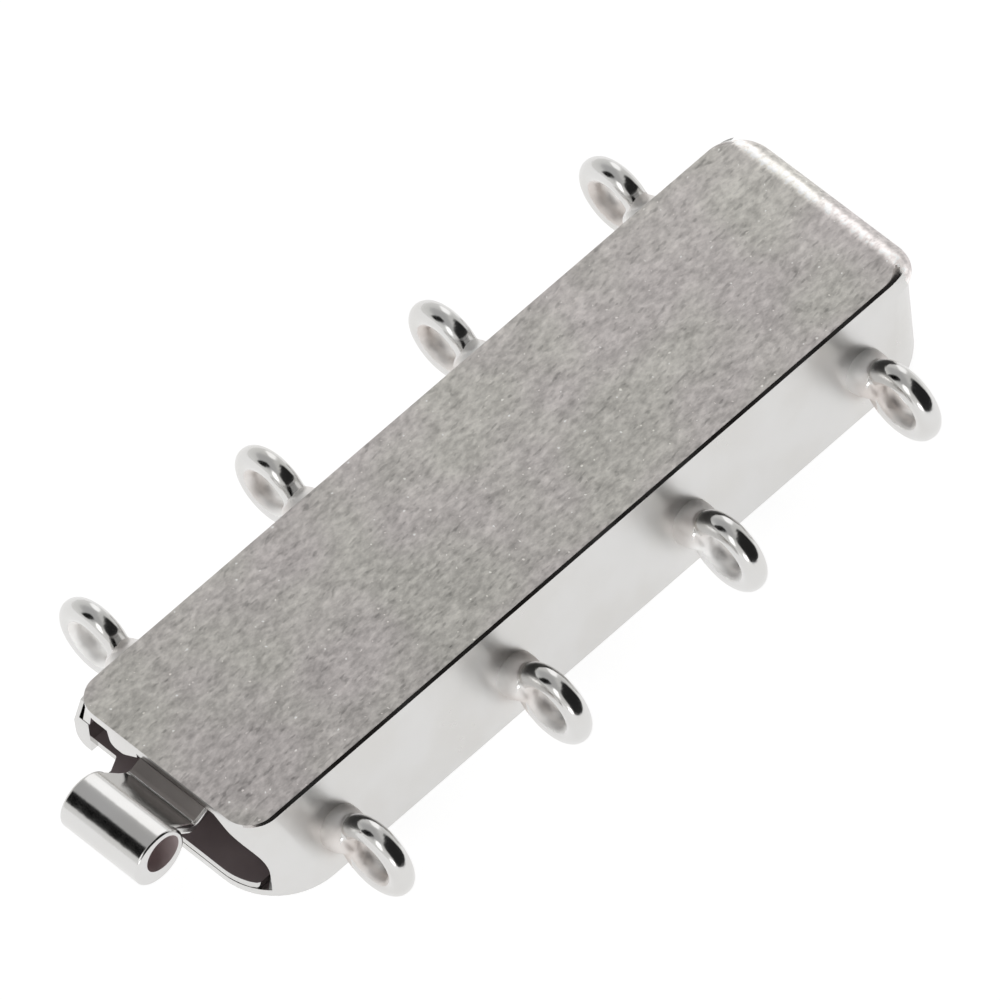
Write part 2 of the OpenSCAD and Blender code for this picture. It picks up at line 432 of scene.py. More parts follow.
class Graph:
    """The node tree of a material or a world."""

    def __init__(self, tree: bpy.types.NodeTree) -> None:
        """Empties the tree."""
        self.tree = tree
        tree.nodes.clear()

    def node(
        self, kind: str, settings: Optional[dict] = None, inputs: Optional[dict] = None
    ) -> bpy.types.Node:
        """Adds one node.

        Args:
            kind: the node's type.
            settings: its own values, which are set first.
            inputs: values or links for its sockets, by name or number.

        Returns:
            The node.
        """
        node = self.tree.nodes.new(kind)
        for key, value in (settings or {}).items():
            setattr(node, key, value)
        for key, value in (inputs or {}).items():
            socket = node.inputs[key]
            if isinstance(value, Value):
                self.tree.links.new(value.socket, socket)
            else:
                socket.default_value = value
        return node

    def add(
        self, kind: str, settings: Optional[dict] = None, inputs: Optional[dict] = None, output: object = 0
    ) -> Value:
        """Adds one node and gives one of its outputs, by name or number, ready for arithmetic."""
        return Value(self, self.node(kind, settings, inputs).outputs[output])

    def close(self, kind: str, shader: bpy.types.Node) -> None:
        """Leads a shader into an output node of the given type."""
        self.tree.links.new(shader.outputs[0], self.node(kind).inputs[0])

    def object_place(self) -> Value:
        """Gives the place on the object, in metres."""
        return self.add("ShaderNodeTexCoord", output="Object")

    def stretched(self, scale: Corner, turn: float) -> Value:
        """Gives the place on the object, turned about Z and then scaled by axis.

        Args:
            scale: how much closer a pattern repeats along X, Y and Z.
            turn: the turn in degrees.

        Returns:
            The scaled place.
        """
        inputs = {"Vector": self.object_place(), "Rotation": (0, 0, math.radians(turn))}
        place = self.add("ShaderNodeMapping", None, inputs)
        return self.add("ShaderNodeMapping", None, {"Vector": place, "Scale": scale})

    def noise(self, noise: Noise, place: Optional[Value] = None) -> Value:
        """Gives noise between 0 and 1, read at the place on the object or at another one."""
        inputs = {"Scale": noise.scale, "Detail": noise.detail, "Roughness": noise.rough}
        return self.add("ShaderNodeTexNoise", None, {"Vector": place or self.object_place(), **inputs})

    def parts(self, vector: Value, count: int) -> list[Value]:
        """Gives the first numbers of a vector, one by one."""
        node = self.node("ShaderNodeSeparateXYZ", None, {0: vector})
        return [Value(self, node.outputs[i]) for i in range(count)]

    def dot(self, direction: Value, axis: Vector) -> Value:
        """Gives a direction's share along an axis."""
        inputs = {0: direction, 1: tuple(axis)}
        return self.add("ShaderNodeVectorMath", {"operation": "DOT_PRODUCT"}, inputs, output="Value")

    def scaled(self, colour: Value, factor: Value) -> Value:
        """Makes a colour lighter or darker by a factor."""
        return self.add("ShaderNodeVectorMath", {"operation": "SCALE"}, {0: colour, "Scale": factor})

    def blend(self, share: object, first: object, second: object) -> Value:
        """Mixes two colours, with a share of the second from 0 to 1."""
        inputs = {"Factor": share, 6: first, 7: second}
        return self.add("ShaderNodeMix", {"data_type": "RGBA"}, inputs, output=2)

    def bump(self, height: Value, distance: float, strength: float) -> Value:
        """Turns a height from 0 to 1 into a bent normal, where 1 stands for a distance in metres."""
        inputs = {"Height": height, "Distance": distance, "Strength": strength}
        return self.add("ShaderNodeBump", None, inputs, output="Normal")


Colour = tuple[float, float, float, float]


def tint(level: float, warmth: float = 0.0, pink: float = 0.0) -> Colour:
    """Gives a grey of a linear level, with less blue by its warmth and less green by its pink."""
    return (level, level * (1 - pink), level * (1 - warmth), 1.0)


# Finishes

@dataclass(frozen=True)
class Finish:
    """A finish, made as a material with one Principled shader."""

    name: str

    def inputs(self, g: Graph) -> dict:
        """Gives the shader's values and links."""
        raise NotImplementedError

    def build(self) -> Material:
        """Builds the material.

        Returns:
            The material.
        """
        material = bpy.data.materials.new(self.name)
        material.use_nodes = True
        g = Graph(material.node_tree)
        g.close("ShaderNodeOutputMaterial", g.node("ShaderNodeBsdfPrincipled", None, self.inputs(g)))
        return material


@dataclass(frozen=True)
class BrightSilver(Finish):
    """Tumbled silver, from mirror-bright to satin, with a faint waviness and some stain."""

    name: str = "polished_silver"
    level: float = 0.66
    roughness: float = 0.11
    uneven: float = 0.05
    waves: float = 0.35
    stain: float = 0.05
    stain_edge: Point = (0.3, 0.65)
    stain_hue: Point = (0.4, 0.3)
    hue: Point = (0.02, 0.008)
    cloud: Noise = Noise(420, 2)
    fine: Noise = Noise(2600, 3)
    fine_share: float = 0.2
    wave_height: float = 0.00004

    def inputs(self, g: Graph) -> dict:
        """Gives the shader's values and links.

        Args:
            g: the material's graph.

        Returns:
            The values and links, by socket.
        """
        cloud, fine = g.noise(self.cloud), g.noise(self.fine)
        warmth, pink = self.hue
        stained = tint(
            self.level * (1 - self.stain), warmth + self.stain_hue[0] * self.stain,
            self.stain_hue[1] * self.stain,
        )
        waves = (1 - self.fine_share) * cloud + self.fine_share * fine
        return {
            "Metallic": 1.0,
            "Base Color": g.blend(cloud.ramp(*self.stain_edge), stained, tint(self.level, warmth, pink)),
            "Roughness": self.roughness + self.uneven * (cloud + fine - 1.0),
            "Normal": g.bump(waves, self.wave_height, self.waves),
        }


@dataclass(frozen=True)
class MattePlate(Finish):
    """The brushed plate: fine short streaks along the length, darker dashes and a few sparks, which are
    painted glints.

    Painted shade makes it darker along X and Y, standing in for a nearby light's fall-off, and a painted
    highlight band, made glossier too, lies on the line where its far end rolls over.
    """

    name: str = "matte_plate"
    level: float = 0.66
    hues: tuple[Point, Point] = ((0.085, 0.03), (0.075, 0.06))
    patch: Noise = Noise(260, 1)
    patch_edge: Point = (0.35, 0.65)
    roughness: float = 0.5
    turn: float = -5.0
    streak: Noise = Noise(3000, 2, 0.6)
    streak_shape: Corner = (1.0, 1.9, 1.9)
    streak_contrast: float = 0.935
    streak_gloss: float = 0.15
    streak_height: float = 0.00003
    streak_bump: float = 0.5
    cloud: Noise = Noise(900, 2)
    cloud_contrast: float = 0.44
    dash: Noise = Noise(2500, 1, 0.4)
    dash_shape: Corner = (1.0, 2.6, 2.6)
    dash_edge: Point = (0.27, 0.37)
    dash_dark: float = 0.22
    # painted glints: the sparks are bright specks painted into the colour
    glint_noise: Noise = Noise(6800, 0)
    glint_edge: Point = (0.79, 0.84)
    painted_glint_light: float = 0.6
    # painted shade: a brightness gradient along X and Y that stands for a nearby light's fall-off
    painted_light_slope: Point = (-4.0, -13.0)
    # painted highlight: a brighter band on the line where the far end rolls over, which is also glossier
    highlight_band_place: float = 14.42
    highlight_band_edge: Point = (0.1, 0.32)
    painted_highlight_light: Point = (0.15, 0.8)
    highlight_band_gloss: float = 0.12

    def inputs(self, g: Graph) -> dict:
        """Gives the shader's values and links.

        Args:
            g: the material's graph.

        Returns:
            The values and links, by socket.
        """
        along = g.stretched(self.streak_shape, self.turn)
        streak, cloud = g.noise(self.streak, along), g.noise(self.cloud, along)
        dash = g.noise(self.dash, g.stretched(self.dash_shape, self.turn))
        x, y = g.parts(g.object_place(), 2)
        tone = 1.0 + self.streak_contrast * (streak - 0.5) + self.cloud_contrast * (cloud - 0.5)
        # painted shade: darker along X and Y
        tone = tone + self.painted_light_slope[0] * x + self.painted_light_slope[1] * y
        tone = tone - self.dash_dark * (1.0 - dash.ramp(*self.dash_edge))
        # painted glints: bright specks added to the tone
        tone = tone + self.painted_glint_light * g.noise(self.glint_noise).ramp(*self.glint_edge)
        # painted highlight band on the line where the far end rolls over, also made glossier
        from_line = (x + self.highlight_band_place * MM).size()
        highlight_band = 1.0 - from_line.ramp(*(edge * MM for edge in self.highlight_band_edge))
        tone = tone + highlight_band * (self.painted_highlight_light[0] + self.painted_highlight_light[1] * streak)
        patch = g.noise(self.patch).ramp(*self.patch_edge)
        hue = g.blend(patch, *(tint(self.level, *hue) for hue in self.hues))
        return {
            "Metallic": 1.0,
            "Base Color": g.scaled(hue, tone),
            "Roughness": self.roughness - self.streak_gloss * (streak - 0.5) - self.highlight_band_gloss * highlight_band,
            "Normal": g.bump(streak, self.streak_height, self.streak_bump),
        }


@dataclass(frozen=True)
class DarkMetal(Finish):
    """Silver inside the box: lighter and fully metallic deep in, and darker, browner and less metallic
    towards its open end, as painted shade where the inside lies in shadow.
    """

    name: str = "painted_shade_inside"
    level: float = 0.34
    warmth: float = 0.13
    pink: float = 0.15
    metallic: float = 0.5
    roughness: float = 0.45
    uneven: float = 0.2
    cloud: Noise = Noise(700, 3)
    cloud_contrast: float = 0.25
    deep: Corner = (0.62, 0.03, 0.02)
    # painted shade: where, along X, the inside turns darker and browner towards the open end
    painted_shade_span: Point = (9.5, 13.0)

    def inputs(self, g: Graph) -> dict:
        """Gives the shader's values and links.

        Args:
            g: the material's graph.

        Returns:
            The values and links, by socket.
        """
        cloud = g.noise(self.cloud)
        shades = [
            tint(self.level * factor, self.warmth, self.pink)
            for factor in (1 - self.cloud_contrast, 1 + self.cloud_contrast)
        ]
        # painted shade: 0 deep in the box, 1 towards its open end, where colour and metal turn darker
        near = g.parts(g.object_place(), 1)[0].ramp(*(x * MM for x in self.painted_shade_span))
        return {
            "Metallic": 1.0 - (1.0 - self.metallic) * near,
            "Base Color": g.blend(near, tint(*self.deep), g.blend(cloud, *shades)),
            "Roughness": self.roughness + self.uneven * (cloud - 0.5),
        }


@dataclass(frozen=True)
class PaleFloor(Finish):
    """The studio's floor, which glows a little so that it stays pale."""

    name: str = "pale_floor"
    level: float = 0.35
    roughness: float = 0.9
    glow: float = 0.9

    def inputs(self, g: Graph) -> dict:
        """Gives the shader's values."""
        return {
            "Base Color": tint(self.level), "Roughness": self.roughness, "Specular IOR Level": 0.0,
            "Emission Color": tint(1.0), "Emission Strength": self.glow,
        }


class Palette:
    """The finishes that the pieces share."""

    def __init__(self) -> None:
        """Builds each finish's material."""
        self.polished = BrightSilver().build()
        self.rings = BrightSilver("ring_silver", 0.7, 0.15, uneven=0.08, waves=0.6).build()
        self.solder = BrightSilver("solder", 0.93, 0.55, uneven=0.2, waves=1.6, stain=0.22).build()
        self.satin = BrightSilver("satin_silver", 0.71, 0.3, uneven=0.08, waves=0.25).build()
        self.matte = MattePlate().build()
        # painted shade: the silver inside the box, darkened and browned towards its open end where it lies
        # in shadow
        self.inside = DarkMetal().build()
        # painted shade in the hollow of the rolled tab
        self.hollow = DarkMetal("roll_hollow", 0.55, 0.16, 0.16, metallic=0.0, roughness=0.6).build()
        self.dark_brown = DarkMetal("dark_brown_neck", 0.3, 0.13, 0.09, metallic=0.6, roughness=0.42).build()
        # painted reflection: the bevel's darker, stained colour paints part of the dark line that the edge
        # reflects
        self.painted_edge_line = BrightSilver("painted_dark_edge", 0.6, 0.27, uneven=0.16, waves=1.8, stain=0.4).build()


def dress(piece: Piece, choose: Callable[[Vector, Vector], Material]) -> None:
    """Gives each face of a piece its finish, while the piece is still in millimetres.

    Args:
        piece: the mesh.
        choose: takes a face's centre and normal and gives its finish.
    """
    numbers: dict[str, int] = {}
    piece.data.materials.clear()
    for face in piece.data.polygons:
        material = choose(face.center, face.normal)
        if material.name not in numbers:
            numbers[material.name] = len(numbers)
            piece.data.materials.append(material)
        face.material_index = numbers[material.name]


# The clasp

@dataclass
class Body:
    """Sizes that the clasp's parts share. The height and the length come from the frame."""

    height: float
    length: float
    half_width: float = 4.02
    flare: float = 0.88
    sheet: float = 0.3
    gap: float = 0.05
    skin: float = 0.16
    base_radius: float = 2.45
    groove_depth: float = 2.22
    wall_back: float = 0.65
    floor_left: float = -3.0
    spring_span: Point = (-2.9, 3.3)
    fold: float = 5.0
    core_back: float = 3.0

    @property
    def end(self) -> float:
        """Distance from the middle to either end of the plate."""
        return self.length / 2

    @property
    def under_plate(self) -> float:
        """Height of the plate's underside."""
        return self.height - self.sheet

    @property
    def groove(self) -> float:
        """Height of the lower edge of the box's left lip."""
        return self.height - self.groove_depth

    @property
    def wall_end(self) -> float:
        """Where the insert's wall ends at the near end."""
        return self.end - self.wall_back

    def side(self, z: float) -> float:
        """Half the width at a height, on the outer face of a long side."""
        return self.half_width + self.flare * (self.height - z) / self.height

    def inside(self, spot: Vector, normal: Vector) -> bool:
        """Says whether a face lies in the hollow or on its walls, and looks inwards.

        Args:
            spot: the face's centre.
            normal: its normal.

        Returns:
            True for such a face.
        """
        reach = self.end - self.core_back
        core = Vector((max(-reach, min(reach, spot.x)), 0, self.height / 2))
        return (
            self.sheet - CLEAR < spot.z < self.under_plate + CLEAR
            and abs(spot.x) < self.end - self.sheet + CLEAR
            and abs(spot.y) < self.side(spot.z) - self.sheet + CLEAR
            and normal.dot(spot - core) < 0
        )


@dataclass
class Maker:
    """What makes pieces of the clasp, from the shared sizes and finishes."""

    body: Body
    palette: Palette

    def build(self) -> list[Piece]:
        """Builds the finished pieces."""
        raise NotImplementedError


@dataclass
class Shell(Maker):
    """The box: plate, walls, floor and the lips at its open end."""

    plate_radius: float = 1.05
    bevel: float = 0.085
    bevel_near: float = 0.2
    bevel_left: float = 0.4
    far_roll: float = 0.9
    roll_lean: float = 0.05
    trim: float = 0.5
    trim_top: float = 3.12
    trim_fade: float = 0.1
    notch: Point = (-1.08, 2.75)
    notch_slant: float = 0.4
    lip_left: float = -2.4
    lip_flat: Point = (0.08, 0.5)
    lip_rise: float = 0.45
    lip_round: Corner = (0.3, 0.4, 0.05)
    left_lip_depth: float = 0.95
    right_lip_depth: float = 0.58
    mouth_right: float = 4.04
    mouth_radius: float = 2.4
    mouth_turn: int = 52
    mouth_height: float = 1.1
    mouth_depth: float = 0.8
    rail: float = 0.3
    rail_gap: float = 0.03
    upright: float = 0.35
    easing: float = 0.035

    def corner(self, z: float) -> float:
        """Gives the radius of the corners at a height, seen from above."""
        base = self.body.base_radius
        return base + (self.plate_radius - base) * z / self.body.height

    def level(self, z: float, roll: float, inset: float = 0.0) -> Level:
        """Gives the outline at a height, behind the far roll there.

        Args:
            z: the height.
            roll: the roll's radius at this layer, 0 for none.
            inset: how far the outline lies inside the outer face.

        Returns:
            The outline.
        """
        b = self.body
        rise = max(0.0, z - b.height + self.far_roll)
        back = roll - math.sqrt(max(0.0, roll * roll - rise * rise))
        half = b.side(z) - inset
        return Level(z, -b.end + inset + back, b.end - inset, -half, half, self.corner(z) - inset)

    def rolled_levels(self, roll: float, inset: float) -> list[Level]:
        """Gives the outlines up the far roll, from its start to its top."""
        heights = arc((0, self.body.height - self.far_roll), roll, 0, 90, step=6)
        return [self.level(z, roll, inset) for _, z in heights]

    def outer(self) -> Piece:
        """Lofts the outer form, with a bevel along the long edges of the plate.

        Returns:
            A closed solid.
        """
        start = self.body.height - self.bevel
        levels = [self.level(0, 0)]
        for level in self.rolled_levels(self.far_roll, 0) + [self.level(start, self.far_roll)]:
            down = max(0.0, level.z - start)
            levels.append(Level(
                level.z, level.x0, level.x1 - self.bevel_near * down, level.y0 + self.bevel_left * down,
                level.y1 - down, level.radius - down,
            ))
        return loft("outer", sorted(levels, key=lambda level: level.z))

    def corner_form(self) -> Piece:
        """Lofts a wide form that takes the walls in at the far right corner, below the plate's roll.

        Returns:
            A closed solid.
        """
        b = self.body
        wide = 2 * b.end
        rim = self.trim_top + self.trim_fade
        radii = [
            (-CLEAR, b.base_radius + self.trim), (self.trim_top, self.corner(self.trim_top) + self.trim),
            (rim, self.corner(rim) - CLEAR), (b.height + CLEAR, self.plate_radius - 2 * CLEAR),
        ]
        return loft("corner", [
            Level(z, -b.end - CLEAR, wide, -wide, b.side(z) + CLEAR, radius) for z, radius in radii
        ])

    def hollow(self) -> Piece:
        """Lofts the space inside the walls."""
        t = self.body.sheet
        return loft("hollow", [self.level(t, 0, t)] + self.rolled_levels(self.far_roll - t, t))

    def left_cutter(self) -> Piece:
        """Draws the space that the insert's wall takes on the left.

        Returns:
            A closed solid.
        """
        b = self.body
        inset = b.skin + b.gap
        reach = -b.half_width - BEYOND
        section = [
            (reach, b.under_plate), (-b.side(b.under_plate) + inset, b.under_plate),
            (-b.side(b.groove) + inset, b.groove), (b.floor_left, b.groove),
            (b.floor_left, -BEYOND), (reach, -BEYOND),
        ]
        return bar("left", Plane.YZ, section, -b.end + b.sheet, b.end + BEYOND)

    def mouth_cutter(self) -> Piece:
        """Draws the wide cut-out of the near end, with the notch between its two lips.

        Returns:
            A closed solid.
        """
        b = self.body
        top = b.under_plate
        reach = -b.half_width - BEYOND
        left = b.height - self.left_lip_depth
        lip = self.notch[0] - self.lip_left
        middle = (self.mouth_right - self.mouth_radius, self.mouth_height)
        curve = [(*spot, 0) for spot in arc(middle, self.mouth_radius, self.mouth_turn, 0, step=4)]
        section = rounded([
            (reach, b.sheet, 0), (reach, top, 0), (self.lip_left, top, 0),
            (self.lip_left + self.lip_flat[0] * lip, left, self.lip_round[0]),
            (self.lip_left + self.lip_flat[1] * lip, left, self.lip_round[1]),
            (self.notch[0], left + self.lip_rise, self.lip_round[2]), (self.notch[0], top, 0),
            (self.notch[1] - self.notch_slant, top, 0),
            (self.notch[1], b.height - self.right_lip_depth, 0), *curve, (self.mouth_right, b.sheet, 0),
        ])
        return bar("mouth", Plane.YZ, section, b.end - b.sheet - self.mouth_depth, b.end + BEYOND)

    def groove_rail(self) -> Piece:
        """Draws the left lip, which runs in the groove of the insert's wall.

        Returns:
            A closed solid.
        """
        b = self.body
        inset = b.skin + self.rail_gap
        top = b.under_plate + b.sheet / 2
        low_y, top_y = (-b.side(z) + inset for z in (b.groove, top))
        section = [(low_y, b.groove), (top_y, top), (top_y + self.rail, top), (low_y + self.rail, b.groove)]
        return bar("rail", Plane.YZ, section, -b.end + self.far_roll, b.wall_end)

    def finish_of(self, spot: Vector, normal: Vector) -> Material:
        """Chooses matte for the plate, painted shade inside, a darker stained colour on the plate's bevel
        that paints part of the dark line it reflects, satin on the walls and polished on the edges.

        Args:
            spot: a face's centre.
            normal: its normal.

        Returns:
            The finish.
        """
        b, p = self.body, self.palette
        if normal.z > FACES_UP and spot.z < b.under_plate / 2:
            return p.polished
        # painted shade on faces in the hollow that look inwards
        if b.inside(spot, normal):
            return p.inside
        leans_back = normal.x < -self.roll_lean and normal.z > self.roll_lean
        if normal.z > LIES_LEVEL or (spot.x < -b.end + self.far_roll and leans_back):
            return p.matte
        # painted reflection: the plate's bevel gets a darker, stained colour for its reflected dark line
        if spot.z > b.height - self.bevel - CLEAR / 2 and normal.z > LEANS:
            return p.painted_edge_line
        return p.satin if abs(normal.z) < self.upright else p.polished

    def build(self) -> list[Piece]:
        """Builds the box without its rings.

        Returns:
            The finished piece.
        """
        shell = self.outer()
        combine(shell, self.corner_form(), "INTERSECT")
        for cutter in (self.hollow, self.left_cutter, self.mouth_cutter):
            combine(shell, cutter(), "DIFFERENCE")
        combine(shell, self.groove_rail(), "UNION")
        ease_edges(shell, self.easing)
        dress(shell, self.finish_of)
        return [finish_piece(shell, "case_shell", "case", "box")]


@dataclass
class Insert(Maker):
    """The half that pulls out: left wall, lower leaf and the fold of the spring."""

    leaf: float = 0.24
    leaf_left: float = 0.3
    leaf_right: float = 3.7
    leaf_far: float = 12.0
    leaf_play: float = 0.012
    leaf_turn: int = 24
    leaf_cut: float = 0.15
    leaf_round: Point = (0.3, 0.2)
    step_back: Point = (0.2, 0.8)
    step_left: Corner = (0.6, 0.2, -0.1)
    step_round: float = 0.1
    bar_inset: float = 0.1
    bar_low: float = 0.06
    bar_draft: float = 0.04
    bar_round: float = 0.5
    knee_height: float = 1.15
    knee_inset: float = 0.1
    knee_round: float = 0.2
    fold_radius: float = 0.45
    top_radius: float = 1.18
    end_cut: float = 0.75
    end_slant: float = 0.8
    easing: float = 0.03

    def wall(self) -> Piece:
        """Draws the outer skin over the solid bar, rounded at the far end as the box is.

        Returns:
            A closed solid.
        """
        b = self.body
        high = b.groove - b.gap
        top = b.under_plate - b.gap
        knee = b.side(0) - self.knee_inset
        lean = (knee - b.side(top)) / (top - self.knee_height)
        inner = knee - b.skin - lean * (high - self.knee_height)
        back = -b.half_width - self.bar_inset
        section = rounded([
            (-knee + self.bar_draft, self.bar_low, self.bar_round),
            (-knee, self.knee_height, self.knee_round), (-b.side(top), top, 0),
            (-b.side(top) + b.skin, top, 0), (-inner, high, 0), (back, high, 0), (back, self.bar_low, 0),
        ])
        wall = bar("wall", Plane.YZ, section, -b.end + b.sheet + b.gap, b.wall_end)
        reach = 2 * b.end
        form = loft("form", [
            Level(z, -b.end + shift, reach, -half - CLEAR, reach, radius) for z, shift, half, radius in (
                (0, -CLEAR, b.side(0), b.base_radius),
                (self.knee_height, 0, knee, b.base_radius),
                (top, CLEAR, b.side(top), self.top_radius),
            )
        ])
        combine(wall, form, "INTERSECT")
        cut_flat(wall, Vector((b.wall_end, 0, top - self.end_cut)), Vector((-1, 0, -self.end_slant)))
        return wall

    def lower_leaf(self) -> Piece:
        """Draws the flat leaf that slides on the box's floor, with a step at its near left corner.

        Returns:
            A closed solid.
        """
        b = self.body
        front = b.end - self.leaf_play
        near, far = (front - self.step_back[0], b.end - self.step_back[1])
        left = -b.half_width - self.leaf_left
        steps = [b.floor_left + step for step in self.step_left]
        middle = (b.end - b.base_radius, b.side(0) - b.base_radius)
        radius = b.base_radius - self.leaf_play
        curve = [(*spot, 0) for spot in arc(middle, radius, self.leaf_turn, 0, step=4)]
        outline = rounded([
            (-self.leaf_far, self.leaf_right, self.leaf_round[0]),
            (curve[0][0] - self.leaf_cut, self.leaf_right, self.leaf_round[1]), *curve,
            (front, steps[0], 0), (near, steps[1], self.step_round), (far, steps[2], self.step_round),
            (far, left, 0), (-self.leaf_far, left, 0),
        ])
        return bar("leaf", Plane.XY, outline, b.sheet + self.leaf_play, b.sheet + b.gap + self.leaf)

    def spring_fold(self) -> Piece:
        """Draws the half-round fold that holds the spring leaf's end.

        Returns:
            A closed solid.
        """
        b = self.body
        middle = (-b.fold, b.sheet + b.gap + self.fold_radius)
        outer = arc(middle, self.fold_radius, 90, 270, step=15)
        inner = arc(middle, self.fold_radius - self.leaf, 270, 90, step=15)
        return bar("fold", Plane.XZ, outer + inner, *b.spring_span)

    def finish_of(self, spot: Vector, normal: Vector) -> Material:
        """Chooses painted shade for what lies inside the box and polished for the rest.

        Args:
            spot: a face's centre.
            normal: its normal.

        Returns:
            The finish.
        """
        b, p = self.body, self.palette
        deep = spot.y > -b.half_width and spot.z > b.sheet + b.gap + self.leaf - CLEAR / 2
        # painted shade on faces inside the box
        return p.inside if deep and b.inside(spot, normal) else p.polished

    def build(self) -> list[Piece]:
        """Builds the insert without its rings.

        Returns:
            The finished piece.
        """
        wall = self.wall()
        combine(wall, self.lower_leaf(), "UNION")
        combine(wall, self.spring_fold(), "UNION")
        ease_edges(wall, self.easing)
        dress(wall, self.finish_of)
        return [finish_piece(wall, "insert_body", "slider", "insert")]


@dataclass
class Tongue(Maker):
    """The spring leaf, its neck and the rolled finger tab."""

    leaf: float = 0.28
    eye: float = 0.16
    eye_height: float = 0.8
    neck: float = 0.4
    neck_span: Point = (-0.93, 2.03)
    neck_back: float = 1.0
    neck_edge: float = 0.13
    neck_depth: float = 0.36
    bend_back: Point = (0.05, 0.1)
    bend_round: float = 0.5
    dip_out: float = 0.52
    dip_depth: float = 0.58
    dip_sag: float = 0.04
    dip_under: Point = (0.16, 0.02)
    dip_round: Point = (0.28, 0.4)
    wing_out: Point = (0.12, 0.3)
    wing_rise: float = 0.1
    tab_span: Point = (-1.22, 2.24)
    tab_radius: float = 1.05
    tab_out: float = 2.26
    tab_depth: float = 0.44
    rims: Point = (0.12, 0.1)
    hollow_radius: float = 0.69
    hollow_offset: float = 0.13
    hollow_beyond: float = 1.0
    margin: float = 0.1
    neck_up: float = 0.5
    rim_out: float = 0.2
    easing: float = 0.05

    @property
    def axis(self) -> Point:
        """Place of the tab's axis, in X and Z."""
        return (self.body.end + self.tab_out, self.body.height - self.tab_depth)

    @property
    def hollow_axis(self) -> Point:
        """Place of the axis of the tab's hole, in X and Z."""
        return (self.axis[0] - self.hollow_offset, self.axis[1] + self.hollow_offset)

    @property
    def shoulder_end(self) -> float:
        """Where the shoulders end, just behind the lips."""
        return self.body.end - self.body.sheet - 2 * self.body.gap

    def spring(self) -> Piece:
        """Draws the leaf from its round end in the fold to its shoulders.

        Returns:
            A closed solid.
        """
        b = self.body
        top = b.height - self.neck_depth
        section = arc((-b.fold, self.eye_height), self.eye, 90, 270, step=15)
        section += [(self.shoulder_end, top - self.leaf), (self.shoulder_end, top)]
        return bar("spring", Plane.XZ, section, *b.spring_span)

    def neck_bar(self) -> Piece:
        """Draws the strip that leaves the notch, dips and rises onto the roll, with its left wing.

        Returns:
            A closed solid.
        """
        b = self.body
        top = b.height - self.neck_depth
        low = top - self.neck
        dip = Vector((b.end + self.dip_out, b.height - self.dip_depth))
        to_tab = Vector(self.axis) - dip
        rise = math.atan2(to_tab.y, to_tab.x) + math.asin(self.tab_radius / to_tab.length)
        up = Vector((-math.sin(rise), math.cos(rise)))
        touch = Vector(self.axis) + up * self.tab_radius
        under = touch - up * self.neck
        start = self.shoulder_end - self.neck_back
        section = rounded([
            (start, top, 0), (b.end - self.bend_back[0], top, self.bend_round),
            (dip.x, dip.y - self.dip_sag, self.dip_round[0]), (*touch, 0), (*under, 0),
            (dip.x + self.dip_under[0], dip.y - self.neck - self.dip_under[1], self.dip_round[1]),
            (b.end - self.bend_back[1], low, self.bend_round), (start, low, 0),
        ], steps=8)
        neck = bar("neck", Plane.XZ, section, *self.neck_span)
        self.round_rim(neck, self.neck_span[1], self.neck_edge)
        end = self.tab_span[0] + self.rims[0]
        wing_section = [
            (dip.x + self.wing_out[0], dip.y), (touch.x, touch.y), (under.x, under.y),
            (dip.x + self.wing_out[1], dip.y - self.neck + self.wing_rise),
        ]
        wing = bar("wing", Plane.XZ, wing_section, end, 0)
        edge = Vector((touch.x - dip.x, end - self.neck_span[0], 0))
        corner = Vector((dip.x, self.neck_span[0] + CLEAR / 2, 0))
        cut_flat(wing, corner, Vector((-edge.y, edge.x, 0)))
        combine(neck, wing, "UNION")
        return neck

    def cylinder(self, spot: Point, radius: float, span: Point) -> Piece:
        """Adds a cylinder that runs across the clasp.

        Args:
            spot: its axis, in X and Z.
            radius: its radius.
            span: its two ends, in Y.

        Returns:
            The cylinder.
        """
        clear_selection()
        bpy.ops.mesh.primitive_cylinder_add(
            vertices=96, radius=radius, depth=span[1] - span[0], rotation=(math.pi / 2, 0, 0),
            location=(spot[0], (span[0] + span[1]) / 2, spot[1]),
        )
        piece = bpy.context.active_object
        settle(piece)
        return piece

    def round_rim(self, piece: Piece, end: float, width: float) -> None:
        """Rounds the edges of a piece's flat end.

        Args:
            piece: the solid.
            end: the end's place in Y.
            width: how far the rounding reaches.
        """
        edit_all(piece)
        bpy.ops.mesh.select_all(action="DESELECT")
        bpy.ops.object.mode_set(mode="OBJECT")
        for edge in piece.data.edges:
            edge.select = all(abs(piece.data.vertices[i].co.y - end) < SAME_SPOT for i in edge.vertices)
        bpy.ops.object.mode_set(mode="EDIT")
        bpy.ops.mesh.select_mode(type="EDGE")
        bpy.ops.mesh.bevel(offset=width, segments=8, profile=0.5)
        bpy.ops.mesh.select_mode(type="VERT")
        done_editing()

    def roll(self) -> Piece:
        """Makes the solid roll, with a softer rim at its left end than at its right one.

        Returns:
            A closed solid.
        """
        piece = self.cylinder(self.axis, self.tab_radius, self.tab_span)
        for end, width in zip(self.tab_span, self.rims):
            self.round_rim(piece, end, width)
        return piece

    def finish_of(self, spot: Vector, normal: Vector) -> Material:
        """Chooses painted shade inside the box and in the roll's hollow, and dark brown for the neck's flat
        part.

        Args:
            spot: a face's centre.
            normal: its normal.

        Returns:
            The finish.
        """
        p = self.palette
        x, z = self.hollow_axis
        from_hollow = Vector((spot.x - x, spot.z - z)).length
        within = self.tab_span[0] + self.margin < spot.y < self.tab_span[1] - self.margin
        # painted shade in the roll's hollow
        if from_hollow < self.hollow_radius + CLEAR and within:
            return p.hollow
